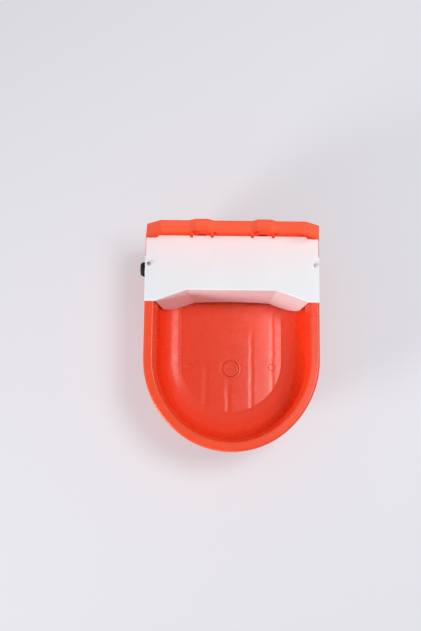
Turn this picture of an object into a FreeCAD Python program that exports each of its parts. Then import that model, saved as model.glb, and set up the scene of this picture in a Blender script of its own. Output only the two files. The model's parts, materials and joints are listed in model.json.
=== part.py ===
import FreeCAD, Part
import math
import os
import re
import Sketcher
from FreeCAD import Vector

# Livestock drinking bowl with a float valve under a screwed cover
# All lengths in millimetres, angles in degrees
# Bowl datum: X = 0 centre plane, Y = 0 where the straight sides meet the front arcs, Z = 0 base
# Every piece is then placed so that the origin is the centre of the wall bolts on the wall plane

SIZES = (
    ("bowl_width", 295, "overall width over the rim"),
    ("front_nose", 8, "front of the rim beyond a half circle"),
    ("rim_height", 105, "top of the rim above the base"),
    ("rim_width", 16, "flat of the rim"),
    ("rim_round", 3.5, "rounding of the outer rim edge"),
    ("mouth_round", 2.5, "rounding of the inner rim edge"),
    ("wall", 3.5, "wall of the moulding"),
    ("lip_height", 11, "rolled lip under the rim"),
    ("lip_wall", 3, "thickness of the rolled lip"),
    ("floor_height", 20, "basin floor above the base"),
    ("floor_width", 175, "width of the flat floor panel"),
    ("floor_nose", 1, "front of the floor panel beyond a half circle"),
    ("floor_shift", 10, "floor arc line behind the datum line"),
    ("knee_run", 0.29, "share of the wall run where the steep wall ends"),
    ("knee_height", 20, "height of that line above the floor"),
    ("cove_run", 0.46, "share of the wall run in the middle of the cove"),
    ("cove_height", 10.5, "height of that line above the floor"),
    ("toe_run", 0.72, "share of the wall run near the floor panel"),
    ("toe_height", 4.8, "height of that line above the floor"),
    ("shelf", 8, "ledge between the basin and the back wall"),
    ("back_run", 12, "how far the basin's back leans in at the floor"),
    ("corner_in", 16, "slanted back corner of the basin, along X"),
    ("corner_drop", 12, "slanted back corner of the basin, along Y"),
    ("back_face", 215.4, "front face of the back wall behind the datum line"),
    ("back_wall", 3, "thickness of the back wall"),
    ("back_top", 170, "top of the back wall above the base"),
    ("back_bottom", 34, "lower edge of the back wall above the base"),
    ("back_taper", 6, "how far the ends of the back wall lean in"),
    ("wing_width", 27.5, "width of the slanted ends of the back wall"),
    ("wing_drop", 9, "how far the ends of the back wall come forward"),
    ("channel_spacing", 103.5, "between the two upright channels"),
    ("channel_flat", 20.5, "flat width of a channel"),
    ("channel_base", 41, "width of a channel at its mouth"),
    ("channel_depth", 2.8, "depth of a channel"),
    ("bend_round", 7, "rounding of the channel bends"),
    ("wing_round", 14, "rounding of the end bends of the back wall"),
    ("edge_round", 1, "rounding of the upper edge of the back wall"),
    ("root_round", 3, "rounding between the ledge and the back wall"),
    ("slot_width", 15, "slot in the ledge at the root of a channel"),
    ("slot_depth", 2, "depth of that slot, front to back"),
    ("bolt_height", 89, "wall bolt holes above the base"),
    ("bolt_hole", 9, "diameter of a wall bolt hole"),
    ("bolt_boss", 18, "diameter of the boss round a wall bolt hole"),
    ("foot_inset", 2, "foot ring inside the floor panel outline"),
    ("foot_wall", 4, "thickness of the foot ring"),
    ("rib", 2.5, "thickness of the stiffening ribs"),
    ("rib_lift", 3, "ribs end this far above the base"),
    ("rib_inner", 76, "between the two inner floor ribs"),
    ("rib_outer", 138, "between the two outer floor ribs"),
    ("rib_cross", 50, "distance of the cross ribs from the datum line"),
    ("back_rib", 190, "between the two outer ribs behind the basin"),
    ("peg_spacing", 35, "between the two pegs beside one channel"),
    ("peg_width", 4.6, "width of a peg that locates the cover"),
    ("peg_height", 6, "height of a peg over the rim"),
    ("peg_gap", 0.4, "clearance of a peg in the cover's notch"),
    ("peg_notch", 3.2, "depth of the cover's notch in front of a peg"),
    ("stop_rib_inner", 28, "inner end of a low stop rib on the floor"),
    ("stop_rib_length", 37, "length of a low stop rib"),
    ("stop_rib_height", 3, "height of a low stop rib"),
    ("stop_rib_thickness", 2, "thickness of a low stop rib"),
    ("stop_rib_gap", 2.9, "low stop ribs in front of the foot of the skirt"),
    ("pin_mark", 144, "between the two ejector marks on the floor"),
    ("pin_mark_width", 12, "diameter of an ejector mark"),
    ("pin_mark_depth", 0.5, "depth of an ejector mark"),
    ("pin_mark_y", -0.5, "ejector marks in front of the datum line"),
    ("cover_thickness", 3, "plate of the cover"),
    ("cover_side_front", 96, "front edge of the cover over the rim"),
    ("cover_middle_front", 115.5, "front edge of the cover in its middle"),
    ("cover_bend_top", 151, "between the two bends of the front edge"),
    ("cover_bend_bottom", 130, "between the two bends at the foot of the skirt"),
    ("cover_back", 210.5, "back edge of the cover"),
    ("cover_notch", 4.2, "back corner of the cover cut forward"),
    ("cover_notch_width", 23.5, "width of that cut"),
    ("cover_step", 174.5, "where the sides of the cover step in"),
    ("cover_step_in", 1.4, "size of that step"),
    ("skirt_wall", 2.5, "thickness of the skirt"),
    ("skirt_lean", 3.2, "how far the skirt comes forward at its foot"),
    ("skirt_lift", 3, "foot of the skirt above the floor at the bends"),
    ("skirt_arch", 11, "foot of the skirt above the floor in the middle"),
    ("skirt_gap", 2.5, "between the skirt and the sides of the basin"),
    ("skirt_side_lean", 16, "how far the sides of the skirt lean in at its foot"),
    ("skirt_corner_round", 36, "rounding of the skirt's lower corners"),
    ("fold_round", 2.5, "rounding of the fold between plate and skirt"),
    ("cover_edge_round", 0.8, "rounding of the cover's upper edges"),
    ("screw_inset", 6.3, "cover screws inside the edge of the rim"),
    ("screw_y", 160, "cover screws behind the datum line"),
    ("screw_shank", 3.5, "diameter of a cover screw"),
    ("screw_length", 11, "length of a cover screw under its head"),
    ("screw_head", 6.6, "diameter of a cover screw head"),
    ("screw_head_height", 2.1, "height of a cover screw head"),
    ("screw_recess", 1.1, "width of the cross recess"),
    ("screw_gap", 0.1, "clearance round the cover screws in their bosses"),
    ("screw_play", 0.5, "clearance round the cover screws in the cover"),
    ("screw_boss", 9.2, "diameter of a cover screw boss"),
    ("valve_y", 157.8, "valve axis behind the datum line"),
    ("valve_drop", 27, "valve axis under the top of the rim"),
    ("inlet_inset", 10, "inner face of the inlet boss inside the mouth of the basin"),
    ("inlet_boss_length", 13, "length of the inlet boss"),
    ("inlet_boss", 36, "diameter of the inlet boss"),
    ("thread", 20.9, "diameter of the inlet thread, G half inch"),
    ("thread_gap", 0.25, "clearance round the inlet thread in the bowl"),
    ("stub_length", 33, "inlet stub outside the inner face of the boss"),
    ("inlet_bore", 15, "bore of the inlet stub"),
    ("gasket", 2, "thickness of the inner gasket"),
    ("washer", 1.5, "thickness of the outer washer"),
    ("seal_width", 32, "diameter of the gasket, washer and valve flange"),
    ("valve_flange", 4.5, "thickness of the valve flange"),
    ("locknut_flats", 27, "locknut across its flats"),
    ("locknut_height", 7, "height of the locknut"),
    ("nut_gap", 0.05, "clearance in the locknut and the dust cap"),
    ("cap_width", 24.6, "diameter of the dust cap"),
    ("cap_end", 1.9, "end wall of the dust cap"),
    ("cap_length", 13.2, "length of the dust cap"),
    ("cap_round", 5.5, "rounding of the dust cap"),
    ("barrel", 22, "diameter of the valve barrel"),
    ("barrel_end", 47, "inner end of the barrel from the boss face"),
    ("piston_width", 14, "diameter of the piston and the nozzle"),
    ("running_gap", 0.05, "radial clearance of pieces that turn or slide"),
    ("nozzle_start", 4, "outer end of the nozzle"),
    ("nozzle_length", 9, "length of the nozzle with its lip"),
    ("nozzle_lip", 2, "height of the nozzle lip"),
    ("nozzle_lip_width", 7, "diameter of the nozzle lip"),
    ("jet", 4, "diameter of the jet"),
    ("ring_section", 1.6, "section of the nozzle ring"),
    ("window_start", 13.5, "outlet window of the barrel"),
    ("window_length", 6, "length of the outlet window"),
    ("window_width", 12, "width of the outlet window"),
    ("pivot_x", 36, "pivot from the boss face"),
    ("pivot_drop", 16, "pivot under the valve axis"),
    ("pivot_pin", 4, "diameter of the pivot pin"),
    ("ear_gap", 10.2, "between the two ears"),
    ("ear", 3.5, "thickness of an ear"),
    ("ear_width", 14, "width of an ear"),
    ("side_gap", 0.3, "clearance of the lever between the ears"),
    ("hub", 9, "diameter of the lever hub"),
    ("finger_tip", 6, "diameter of the finger tip"),
    ("finger_width", 6, "width of the finger"),
    ("finger_shank", 3.6, "thickness of the finger above the hub"),
    ("finger_gap", 0.3, "clearance of the finger in the piston"),
    ("swing", 18, "swing of the float lever"),
    ("seat_gap", 0.3, "gap left at the nozzle lip when shut"),
    ("piston_length", 27, "length of the piston"),
    ("seal_disc", 11, "diameter of the piston seal"),
    ("seal_depth", 3, "thickness of the piston seal"),
    ("seal_proud", 0.5, "how far the seal stands out of the piston"),
    ("arm_height", 7, "height of the lever arm"),
    ("arm_length", 115, "arm from the pivot to its end"),
    ("arm_round", 2, "rounding of the arm's end"),
    ("float_start", 55, "near end of the float from the pivot"),
    ("float_length", 80, "length of the float"),
    ("float_width", 56, "width of the float"),
    ("float_height", 34, "height of the float"),
    ("float_wall", 1.8, "wall of the float"),
    ("float_corner", 10, "upright corner rounding of the float"),
    ("float_round", 4, "rounding of the float's upper edge"),
    ("float_lid_spigot", 2.5, "rim of the float base inside the shell"),
    ("float_lid_gap", 0.1, "clearance round that rim"),
    ("float_screw_spacing", 30, "between the two float screws"),
    ("float_screw_first", 72, "first float screw from the pivot"),
    ("float_screw", 3.8, "diameter of a float screw"),
    ("float_screw_length", 15, "length of a float screw under its head"),
    ("float_screw_head", 7.4, "diameter of a float screw head"),
    ("float_screw_head_height", 2.4, "height of a float screw head"),
    ("float_boss", 8, "diameter of a float screw boss"),
    ("pin_head", 6.4, "diameter of the pivot pin head"),
    ("pin_head_height", 1.2, "height of the pivot pin head"),
    ("pin_groove", 3.2, "diameter of the pin at its groove"),
    ("clip", 0.8, "thickness of the retaining clip"),
    ("clip_width", 7.6, "diameter of the retaining clip"),
    ("clip_gap", 0.1, "clearance beside the retaining clip"),
    ("strainer_length", 18, "length of the inlet strainer"),
    ("strainer_wall", 0.9, "wall of the inlet strainer"),
    ("strainer_slot", 3.2, "width of a strainer slot"),
    ("strainer_recess", 1, "strainer behind the end of the stub"),
    ("strainer_gap", 0.1, "clearance round the inlet strainer"),
    ("ring_gap", 0.05, "clearance under the sealing rings in their grooves"),
    ("plug_y", -3.3, "drain plug in front of the datum line"),
    ("plug_head", 27.2, "diameter of the drain plug head"),
    ("plug_head_height", 2.6, "height of the drain plug head"),
    ("plug_seat_gap", 0.3, "clearance under the drain plug head"),
    ("plug_seam", 0.4, "seam round the drain plug head"),
    ("plug_bevel", 0.9, "bevel of the edge round the drain plug"),
    ("plug_shank", 20, "diameter of the drain plug shank"),
    ("plug_length", 14, "drain plug under the floor"),
    ("plug_boss", 36, "diameter of the boss round the drain"),
    ("plug_ring_section", 1.8, "section of the drain plug ring"),
    ("plug_ring_depth", 8.5, "drain plug ring under the floor"),
    ("plug_grip_width", 17, "diameter of the shallow grip recess"),
    ("plug_grip_depth", 0.6, "depth of the grip recess"),
    ("plug_grip_bar", 3, "bar left across the grip recess"),
)

doc = FreeCAD.newDocument("drinking_bowl")
sheet = doc.addObject("Spreadsheet::Sheet", "Sizes")
for row, (alias, value, note) in enumerate(SIZES, start=1):
    sheet.set("A%d" % row, alias)
    sheet.set("B%d" % row, str(value))
    sheet.set("C%d" % row, note)
    sheet.setAlias("B%d" % row, alias)
doc.recompute()

ALIASES = {alias for alias, value, note in SIZES}

# Lengths that several pieces share, as expressions of the sheet
WALL_PLANE = "(back_face + back_wall + channel_depth)"
RIM_HALF = "(bowl_width / 2)"
MOUTH_HALF = "(bowl_width / 2 - rim_width)"
FRONT_REACH = "(bowl_width / 2 + front_nose)"
FLOOR_REACH = "(floor_width / 2 + floor_nose)"
WING_START = "(bowl_width / 2 - wing_width)"
NOTCH_START = "(bowl_width / 2 - cover_notch_width)"
SCREW_X = "(bowl_width / 2 - screw_inset)"
INLET_INNER = "(bowl_width / 2 - rim_width - inlet_inset)"
COVER_TOP = "(rim_height + cover_thickness)"
BASIN_BACK = "(back_face - shelf)"
BASIN_DEPTH = "(rim_height - floor_height)"
TILT = "(swing / 2)"
TRAVEL = "(2 * pivot_drop * sin(swing / 2 * 1deg))"
NOZZLE_END = "(nozzle_start + nozzle_length)"
SEAL_FACE = "(nozzle_start + nozzle_length + seat_gap + 2 * pivot_drop * sin(swing / 2 * 1deg))"
TIP_X = "(pivot_x + pivot_drop * sin(swing / 2 * 1deg))"
TIP_Z = "(pivot_drop * (cos(swing / 2 * 1deg) - 1))"
STUB_OUT = "(-stub_length)"


def ref(text):
    return re.sub(r"[a-z_]+", lambda m: "Sizes." + m.group() if m.group() in ALIASES else m.group(), text)


def number(text):
    return float(sheet.evalExpression(ref(text)))


def bind(obj, prop, text):
    obj.setExpression(prop, ref(text))


# Bodies and sketches

def new_body(label, x="0", y="0", z="0"):
    body = doc.addObject("PartDesign::Body", label)
    body.Label = label
    bind(body, "Placement.Base.x", x)
    bind(body, "Placement.Base.y", "%s - %s" % (y, WALL_PLANE))
    bind(body, "Placement.Base.z", "%s - bolt_height" % z)
    return body


def valve_piece(label):
    return new_body(label, "-" + INLET_INNER, "valve_y", "rim_height - valve_drop")


def new_sketch(body, plane, offset="0"):
    sketch = body.newObject("Sketcher::SketchObject", body.Label + "_sketch")
    base = [f for f in body.Origin.OriginFeatures if f.Role == plane + "_Plane"][0]
    sketch.AttachmentSupport = [(base, "")]
    sketch.MapMode = "FlatFace"
    bind(sketch, "AttachmentOffset.Base.z", offset)
    return sketch


def constrain(sketch, kind, text, *where):
    index = sketch.addConstraint(Sketcher.Constraint(kind, *where, number(text)))
    bind(sketch, "Constraints[%d]" % index, text)


def place_point(sketch, geometry, point, x, y):
    constrain(sketch, "DistanceX", x, -1, 1, geometry, point)
    constrain(sketch, "DistanceY", y, -1, 1, geometry, point)


def polygon(sketch, corners):
    first = sketch.GeometryCount
    spots = [Vector(number(x), number(y), 0) for x, y in corners]
    for start, end in zip(spots, spots[1:] + spots[:1]):
        sketch.addGeometry(Part.LineSegment(start, end), False)
    count = len(corners)
    for i, (x, y) in enumerate(corners):
        sketch.addConstraint(Sketcher.Constraint("Coincident", first + i, 2, first + (i + 1) % count, 1))
        place_point(sketch, first + i, 1, x, y)


def rectangle(sketch, x0, y0, x1, y1):
    polygon(sketch, ((x0, y0), (x1, y0), (x1, y1), (x0, y1)))


def circle(sketch, x, y, diameter):
    index = sketch.addGeometry(
        Part.Circle(Vector(number(x), number(y), 0), Vector(0, 0, 1), number(diameter) / 2), False)
    place_point(sketch, index, 3, x, y)
    constrain(sketch, "Radius", "(%s) / 2" % diameter, index)


def bowl_outline(sketch, half, reach, centre, back, corner_in, corner_drop):
    # Straight sides, a front of three tangent arcs near a half ellipse, a back with slanted corners
    front_radius = "(%s)^2 / (%s)" % (half, reach)
    a, b, c, r = number(half), number(reach), number(centre), number(front_radius)
    side_radius = b * (a + b) / (2 * a)
    side_centre = Vector(a - side_radius, c, 0)
    front_centre = Vector(0, c - b + r, 0)
    turn = math.atan2(abs(b - r), abs(side_radius - a)) if abs(b - a) > 0.001 else math.pi / 4
    up = Vector(0, 0, 1)
    mirror_centre = Vector(-side_centre.x, side_centre.y, 0)
    y_corner = number("%s - (%s)" % (back, corner_drop))
    y_back = number(back)
    x_back = number("%s - (%s)" % (half, corner_in))
    shapes = (
        Part.LineSegment(Vector(a, y_corner, 0), Vector(a, c, 0)),
        Part.ArcOfCircle(Part.Circle(side_centre, up, side_radius), -turn, 0),
        Part.ArcOfCircle(Part.Circle(front_centre, up, r), turn - math.pi, -turn),
        Part.ArcOfCircle(Part.Circle(mirror_centre, up, side_radius), math.pi, math.pi + turn),
        Part.LineSegment(Vector(-a, c, 0), Vector(-a, y_corner, 0)),
        Part.LineSegment(Vector(-a, y_corner, 0), Vector(-x_back, y_back, 0)),
        Part.LineSegment(Vector(-x_back, y_back, 0), Vector(x_back, y_back, 0)),
        Part.LineSegment(Vector(x_back, y_back, 0), Vector(a, y_corner, 0)),
    )
    right, side_r, front, side_l, left, corner_l, rear, corner_r = [
        sketch.addGeometry(shape, False) for shape in shapes]
    for one, end, other, start in ((right, 2, side_r, 2), (side_l, 1, left, 1), (left, 2, corner_l, 1),
                                   (corner_l, 2, rear, 1), (rear, 2, corner_r, 1), (corner_r, 2, right, 1)):
        sketch.addConstraint(Sketcher.Constraint("Coincident", one, end, other, start))
    sketch.addConstraint(Sketcher.Constraint("Tangent", side_r, 1, front, 2))
    sketch.addConstraint(Sketcher.Constraint("Tangent", front, 1, side_l, 2))
    corner_y = "%s - (%s)" % (back, corner_drop)
    corner_x = "%s - (%s)" % (half, corner_in)
    place_point(sketch, right, 1, half, corner_y)
    place_point(sketch, right, 2, half, centre)
    place_point(sketch, left, 1, "-(%s)" % half, centre)
    place_point(sketch, left, 2, "-(%s)" % half, corner_y)
    place_point(sketch, rear, 1, "-(%s)" % corner_x, back)
    place_point(sketch, rear, 2, corner_x, back)
    constrain(sketch, "DistanceY", centre, -1, 1, side_r, 3)
    constrain(sketch, "DistanceY", centre, -1, 1, side_l, 3)
    place_point(sketch, front, 3, "0", "%s - (%s) + %s" % (centre, reach, front_radius))
    constrain(sketch, "Radius", front_radius, front)


# Features

def pad(body, sketch, length, both=False, reverse=False):
    feature = body.newObject("PartDesign::Pad", body.Label + "_pad")
    feature.Profile = sketch
    bind(feature, "Length", length)
    feature.Midplane = both
    feature.Reversed = reverse
    doc.recompute()
    return feature


def pocket(body, sketch, length, both=False, reverse=False):
    before = body.Shape.Volume
    feature = body.newObject("PartDesign::Pocket", body.Label + "_pocket")
    feature.Profile = sketch
    bind(feature, "Length", length)
    feature.Midplane = both
    feature.Reversed = reverse
    doc.recompute()
    if body.Shape.Volume >= before:
        raise RuntimeError("%s cuts nothing" % feature.Label)
    return feature


def revolve(body, sketch, axis="H_Axis"):
    feature = body.newObject("PartDesign::Revolution", body.Label + "_revolution")
    feature.Profile = sketch
    feature.ReferenceAxis = (sketch, [axis])
    feature.Angle = 360
    doc.recompute()
    return feature


def groove(body, sketch, axis="H_Axis"):
    feature = body.newObject("PartDesign::Groove", body.Label + "_groove")
    feature.Profile = sketch
    feature.ReferenceAxis = (sketch, [axis])
    feature.Angle = 360
    doc.recompute()
    return feature


def loft(body, kind, sketches, ruled=False):
    feature = body.newObject("PartDesign::" + kind, body.Label + "_loft")
    feature.Profile = sketches[0]
    feature.Sections = sketches[1:]
    feature.Ruled = ruled
    doc.recompute()
    return feature


def round_edges(body, radius, test, kind="Fillet"):
    base = body.Tip
    names = ["Edge%d" % i for i, edge in enumerate(base.Shape.Edges, start=1) if test(edge)]
    feature = body.newObject("PartDesign::" + kind, body.Label + "_" + kind.lower())
    feature.Base = (base, names)
    bind(feature, "Radius" if kind == "Fillet" else "Size", radius)
    doc.recompute()
    return feature


def edge_box(edge):
    return edge.BoundBox


def is_upright(edge):
    box = edge.BoundBox
    return box.XLength < 0.01 and box.YLength < 0.01


def is_level(edge, height):
    box = edge.BoundBox
    return box.ZLength < 0.01 and abs(box.ZMin - height) < 0.01


# Bowl

def basin_section(sketch, run, grow="0"):
    # Plan outline of the basin at a share of the wall run from the mouth to the floor panel
    def blend(mouth, floor):
        return "(%s) + (%s) * ((%s) - (%s)) + (%s)" % (mouth, run, floor, mouth, grow)
    bowl_outline(
        sketch,
        blend(MOUTH_HALF, "floor_width / 2"),
        blend(FRONT_REACH + " - rim_width", FLOOR_REACH),
        "(%s) * floor_shift" % run,
        blend(BASIN_BACK, "back_face - shelf - back_run"),
        "corner_in", "corner_drop")


def basin_levels():
    # Share of the wall run, height above the floor, share of the wall outwards and share downwards
    return (
        ("0", BASIN_DEPTH, "1", "0.3"),
        ("knee_run / 2", "(%s + knee_height) / 2" % BASIN_DEPTH, "1", "0"),
        ("knee_run", "knee_height", "0.95", "0.3"),
        ("cove_run", "cove_height", "0.8", "0.7"),
        ("toe_run", "toe_height", "0.5", "0.9"),
        ("1", "0", "0.2", "1"),
    )


def wall_profile(base, forward, end):
    # Plan line of the back wall: two channels and two slanted ends
    points = []
    for side in ("-1", "1"):
        bends = [
            ("%s * %s" % (side, end), "%s - wing_drop + (%s)" % (base, forward)),
            ("%s * %s" % (side, WING_START), base),
            ("%s * (channel_spacing + channel_base) / 2" % side, base),
            ("%s * (channel_spacing + channel_flat) / 2" % side, "%s + channel_depth" % base),
            ("%s * (channel_spacing - channel_flat) / 2" % side, "%s + channel_depth" % base),
            ("%s * (channel_spacing - channel_base) / 2" % side, base),
        ]
        points += bends if side == "-1" else bends[::-1]
    return points


def back_wall_outline(sketch):
    polygon(sketch, wall_profile("back_face", "0", RIM_HALF)
            + wall_profile("(back_face + back_wall)", "0.2", RIM_HALF)[::-1])


def build_wall_root(body):
    # Ledge in the channels and a rounded root along the front of the back wall
    sections = []
    for forward, up in (("root_round", "-0.5"), ("root_round", "0"), ("root_round * 0.3", "root_round * 0.3"),
                        ("-0.3", "root_round * 1.1")):
        sketch = new_sketch(body, "XY", "rim_height + %s" % up)
        end = "(%s - back_taper * (%s) / (back_top + 1 - rim_height))" % (RIM_HALF, up.replace("-0.5", "0"))
        polygon(sketch, wall_profile("(back_face - %s)" % forward, "0", end)
                + wall_profile("(back_face + back_wall / 2)", "0", end)[::-1])
        sections.append(sketch)
    loft(body, "AdditiveLoft", sections, ruled=True)

    sketch = new_sketch(body, "XY", "rim_height - wall")
    for side in ("-1", "1"):
        middle = "%s * channel_spacing / 2" % side
        rectangle(sketch, middle + " - channel_base / 2", "back_face - 1", middle + " + channel_base / 2",
                  "back_face + channel_depth + 0.5")
    pad(body, sketch, "wall")
    sketch = new_sketch(body, "XY", "rim_height + root_round")
    for side in ("-1", "1"):
        middle = "%s * channel_spacing / 2" % side
        rectangle(sketch, middle + " - slot_width / 2", "back_face - root_round - slot_depth / 2",
                  middle + " + slot_width / 2", "back_face - root_round + slot_depth / 2")
    pocket(body, sketch, "2 * wall + root_round")


def build_rim():
    body = doc.addObject("PartDesign::Body", "rim_blank")
    corner_in = "wing_width"
    sketch = new_sketch(body, "XY", "rim_height - lip_height")
    bowl_outline(sketch, RIM_HALF, FRONT_REACH, "0", "back_face", corner_in, "wing_drop")
    pad(body, sketch, "lip_height")
    rim = number("rim_height")
    sides_end = number("back_face - wing_drop")
    round_edges(body, "rim_round", lambda e: is_level(e, rim) and edge_box(e).YMax < sides_end + 0.1)
    sketch = new_sketch(body, "XY", "rim_height - wall")
    bowl_outline(sketch, "%s - lip_wall" % RIM_HALF, FRONT_REACH + " - lip_wall", "0", "back_face",
                 "%s - lip_wall" % corner_in, "wing_drop * (1 - lip_wall / (%s))" % corner_in)
    pocket(body, sketch, "lip_height")
    return body


def build_bowl():
    body = new_body("bowl")

    sketch = new_sketch(body, "XY", "back_bottom")
    back_wall_outline(sketch)
    pad(body, sketch, "back_top - back_bottom")
    mouth = number("back_face")
    wing = number(WING_START)
    round_edges(body, "bend_round", lambda e: is_upright(e) and mouth - 1 < edge_box(e).YMin
                and abs(edge_box(e).XMin) < wing - 1)
    round_edges(body, "wing_round", lambda e: is_upright(e) and abs(abs(edge_box(e).XMin) - wing) < 1)

    sketch = new_sketch(body, "XZ", "-(back_face + 20)")
    for side in ("1", "-1"):
        half = "%s * %s" % (side, RIM_HALF)
        outer = "%s * (%s + 20)" % (side, RIM_HALF)
        trim = "%s * (%s + wall + 1)" % (side, MOUTH_HALF)
        polygon(sketch, ((outer, "rim_height"), (half, "rim_height"),
                         ("%s * (%s - back_taper)" % (side, RIM_HALF), "back_top + 1"), (outer, "back_top + 1")))
        polygon(sketch, ((outer, "rim_height - lip_height"), (trim, "rim_height - lip_height"),
                         (trim, "back_bottom + 25"), ("%s - %s * 25" % (trim, side), "back_bottom - 1"),
                         (outer, "back_bottom - 1")))
    pocket(body, sketch, "60", reverse=True)
    top = number("back_top")
    round_edges(body, "edge_round", lambda e: edge_box(e).ZMin > top - 0.01)

    boolean = body.newObject("PartDesign::Boolean", "bowl_rim_join")
    boolean.setObjects([build_rim()])
    boolean.Type = "Fuse"
    doc.recompute()

    sections = []
    for run, height, out, down in basin_levels():
        sketch = new_sketch(body, "XY", "floor_height + %s - wall * %s" % (height, down))
        basin_section(sketch, run, "wall * %s" % out)
        sections.append(sketch)
    loft(body, "AdditiveLoft", sections)

    build_bowl_ribs(body)

    sections = []
    for run, height, out, down in basin_levels():
        sketch = new_sketch(body, "XY", "floor_height + %s" % height)
        basin_section(sketch, run)
        sections.append(sketch)
    loft(body, "SubtractiveLoft", sections)

    round_mouth(body)
    build_wall_root(body)
    build_bowl_seats(body)
    build_bowl_stops(body)
    return body


def build_bowl_ribs(body):
    ring = "(floor_width / 2 - foot_inset - foot_wall / 2)"
    sketch = new_sketch(body, "XY", "0")
    for inset in ("foot_inset", "(foot_inset + foot_wall)"):
        bowl_outline(sketch, "floor_width / 2 - %s" % inset, "%s - %s" % (FLOOR_REACH, inset), "floor_shift",
                     "back_face - shelf - back_run - %s" % inset, "corner_in", "corner_drop")
    pad(body, sketch, "floor_height - 1")

    half = "rib / 2"
    sketch = new_sketch(body, "XY", "rib_lift")
    for place in ("-rib_outer / 2", "-rib_inner / 2", "rib_inner / 2", "rib_outer / 2"):
        rectangle(sketch, "%s - %s" % (place, half), "floor_shift - sqrt(%s^2 - (%s)^2)" % (ring, place),
                  "%s + %s" % (place, half), "back_face - shelf - back_run - foot_inset - foot_wall / 2")
    pad(body, sketch, "floor_height - 1 - rib_lift")

    sketch = new_sketch(body, "XY", "rib_lift")
    for place, reach in (("-rib_cross", "sqrt(%s^2 - (rib_cross + floor_shift)^2)" % ring),
                         ("rib_cross", ring), ("2.2 * rib_cross", ring)):
        rectangle(sketch, "-" + reach, "%s - %s" % (place, half), reach, "%s + %s" % (place, half))
    pad(body, sketch, "floor_height - 1 - rib_lift")

    sketch = new_sketch(body, "XY", "rib_lift")
    circle(sketch, "0", "plug_y", "plug_boss")
    pad(body, sketch, "floor_height - 1 - rib_lift")

    sketch = new_sketch(body, "XY", "back_bottom + 4")
    for place in ("-back_rib / 2", "0", "back_rib / 2"):
        rectangle(sketch, "%s - %s" % (place, half), "back_face - shelf - back_run / 2",
                  "%s + %s" % (place, half), "back_face + back_wall / 2")
    pad(body, sketch, "rim_height - wall / 2 - back_bottom - 4")

    sketch = new_sketch(body, "XZ", "-%s" % WALL_PLANE)
    for side in ("-1", "1"):
        circle(sketch, "%s * channel_spacing / 2" % side, "bolt_height", "bolt_boss")
    pad(body, sketch, "channel_depth + back_wall + shelf + 2")

    sketch = new_sketch(body, "XY", "rim_height - lip_height")
    for side in ("-1", "1"):
        circle(sketch, "%s * %s" % (side, SCREW_X), "screw_y", "screw_boss")
    pad(body, sketch, "lip_height - wall / 2")


def round_mouth(body):
    # Rounded inner edge of the rim in three narrow bands
    sections = []
    for turn in (0, 30, 60, 90):
        grow = "mouth_round * (1 - sin(%d * 1deg)) - 0.3 * %d / 90" % (turn, turn)
        sketch = new_sketch(body, "XY", "rim_height - mouth_round * (1 - cos(%d * 1deg))" % turn)
        basin_section(sketch, "0", grow)
        sections.append(sketch)
    loft(body, "SubtractiveLoft", sections, ruled=True)


def build_bowl_seats(body):
    sketch = new_sketch(body, "YZ", "-" + INLET_INNER)
    circle(sketch, "valve_y", "rim_height - valve_drop", "inlet_boss")
    pad(body, sketch, "inlet_boss_length", reverse=True)
    sketch = new_sketch(body, "YZ", "-%s + 1" % INLET_INNER)
    circle(sketch, "valve_y", "rim_height - valve_drop", "thread + 2 * thread_gap")
    pocket(body, sketch, "inlet_boss_length + 2")

    sketch = new_sketch(body, "XZ", "-%s - 1" % WALL_PLANE)
    for side in ("-1", "1"):
        circle(sketch, "%s * channel_spacing / 2" % side, "bolt_height", "bolt_hole")
    pocket(body, sketch, "channel_depth + back_wall + shelf + back_run", reverse=True)

    sketch = new_sketch(body, "XY", "rim_height")
    for side in ("-1", "1"):
        circle(sketch, "%s * %s" % (side, SCREW_X), "screw_y", "screw_shank + 2 * screw_gap")
    pocket(body, sketch, "screw_length - cover_thickness + 1")

    sketch = new_sketch(body, "XY", "floor_height")
    circle(sketch, "0", "plug_y", "plug_head + 2 * plug_seam")
    pocket(body, sketch, "plug_head_height + plug_seat_gap")
    floor = number("floor_height")
    seat = number("plug_head / 2 + plug_seam")
    round_edges(body, "plug_bevel", lambda e: is_level(e, floor) and abs(edge_box(e).XLength / 2 - seat) < 0.1,
                "Chamfer")
    sketch = new_sketch(body, "XY", "floor_height")
    circle(sketch, "0", "plug_y", "plug_shank + 2 * running_gap")
    pocket(body, sketch, "floor_height")

    sketch = new_sketch(body, "XY", "floor_height")
    for side in ("-1", "1"):
        circle(sketch, "%s * pin_mark / 2" % side, "pin_mark_y", "pin_mark_width")
    pocket(body, sketch, "pin_mark_depth")


def peg_places():
    return ["((%s) * channel_spacing / 2 + (%s) * peg_spacing / 2)" % (channel, side)
            for channel in ("-1", "1") for side in ("-1", "1")]


def build_bowl_stops(body):
    foot = "(cover_middle_front - skirt_lean - stop_rib_gap)"
    sketch = new_sketch(body, "XY", "floor_height - 1")
    for near, far in (("stop_rib_inner", "stop_rib_inner + stop_rib_length"),
                      ("-stop_rib_inner - stop_rib_length", "-stop_rib_inner")):
        rectangle(sketch, near, foot + " - stop_rib_thickness", far, foot)
    pad(body, sketch, "stop_rib_height + 1")

    sketch = new_sketch(body, "XY", "rim_height - wall / 2")
    for place in peg_places():
        rectangle(sketch, place + " - peg_width / 2", "cover_back + peg_gap", place + " + peg_width / 2",
                  "back_face + back_wall / 2")
    pad(body, sketch, "peg_height + wall / 2")


# Cover

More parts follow.
